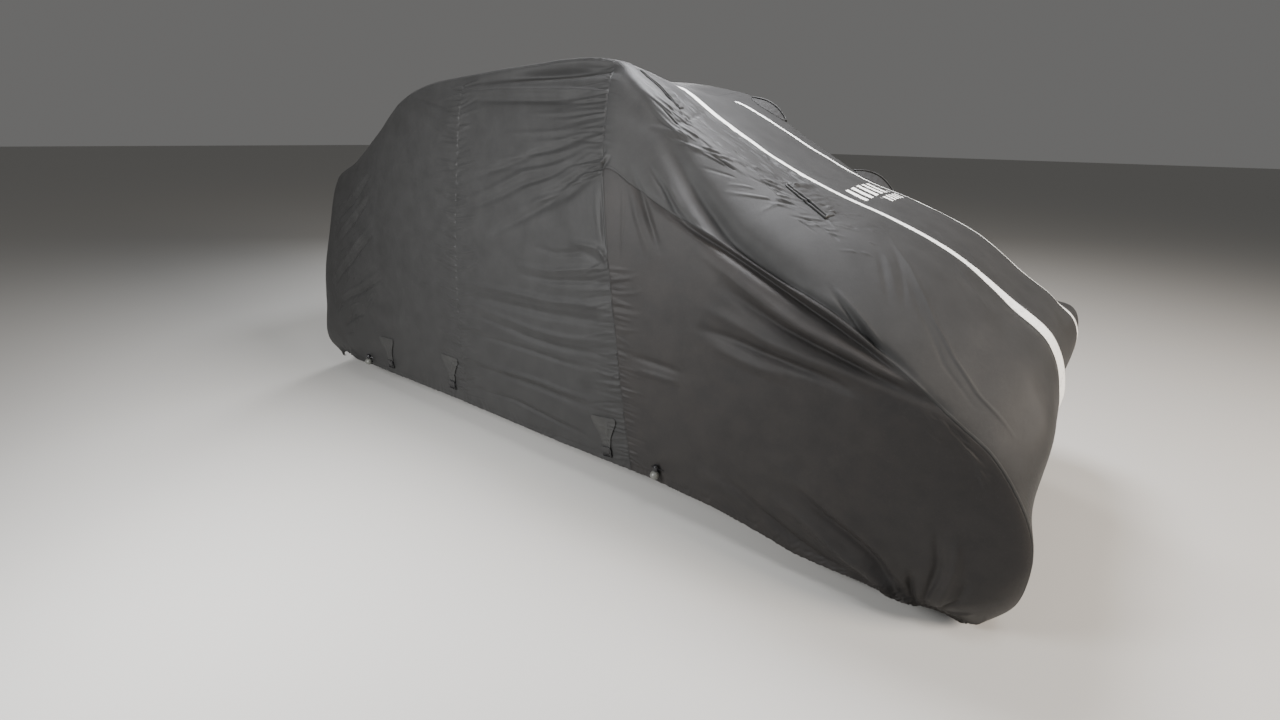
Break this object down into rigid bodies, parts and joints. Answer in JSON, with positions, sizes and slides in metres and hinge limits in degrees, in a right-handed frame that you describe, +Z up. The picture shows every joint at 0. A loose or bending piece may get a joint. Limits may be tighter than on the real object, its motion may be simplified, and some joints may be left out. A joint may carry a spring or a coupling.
{
  "type": "utility terrain vehicle cover",
  "caption": "Fitted storage cover for a four-seat utility terrain vehicle, hollow and open below, with reflective tapes, hooded vents and strap tabs on its gathered hem.",
  "frame": {"origin": "mid length and mid width of the cover, level with its lowest hem", "axes": "+X towards the nose, +Y to the cover's left, +Z up"},
  "size_m": [4.2683, 1.6816, 1.8453],
  "materials": {
    "cloth": "mid-grey woven polyester with a faint sheen",
    "wing_cloth": "the same woven polyester in a darker, slightly brown black",
    "tape": "white reflective tape, satin, slightly crinkled",
    "piping": "dark woven binding over a cord",
    "webbing": "black doubled polyester with box stitching",
    "buckle_plastic": "moulded black acetal, matte",
    "lock_plastic": "moulded black plastic, glossy"
  },
  "bodies": {
    "root": {"roof_panel": "cloth", "hood_panel": "cloth", "rear_quarter_right": "cloth", "door_panel_right": "cloth", "wing_panel_right": "wing_cloth", "tape_right": "tape", "hood_vent_right": "cloth", "hood_vent_piping_right": "piping", "pillar_vent_right": "cloth", "pillar_vent_piping_right": "piping", "strap_tab_front_right": "webbing", "buckle_front_right": "buckle_plastic", "strap_tab_middle_right": "webbing", "buckle_middle_right": "buckle_plastic", "strap_tab_rear_right": "webbing", "buckle_rear_right": "buckle_plastic", "cord_lock_front_right": "lock_plastic", "cord_ball_front_right": "buckle_plastic", "cord_lock_rear_right": "lock_plastic", "cord_ball_rear_right": "buckle_plastic", "rear_quarter_left": "cloth", "door_panel_left": "cloth", "wing_panel_left": "wing_cloth", "tape_left": "tape", "hood_vent_left": "cloth", "hood_vent_piping_left": "piping", "pillar_vent_left": "cloth", "pillar_vent_piping_left": "piping", "strap_tab_front_left": "webbing", "buckle_front_left": "buckle_plastic", "strap_tab_middle_left": "webbing", "buckle_middle_left": "buckle_plastic", "strap_tab_rear_left": "webbing", "buckle_rear_left": "buckle_plastic", "cord_lock_front_left": "lock_plastic", "cord_ball_front_left": "buckle_plastic", "cord_lock_rear_left": "lock_plastic", "cord_ball_rear_left": "buckle_plastic"}
  },
  "joints": []
}
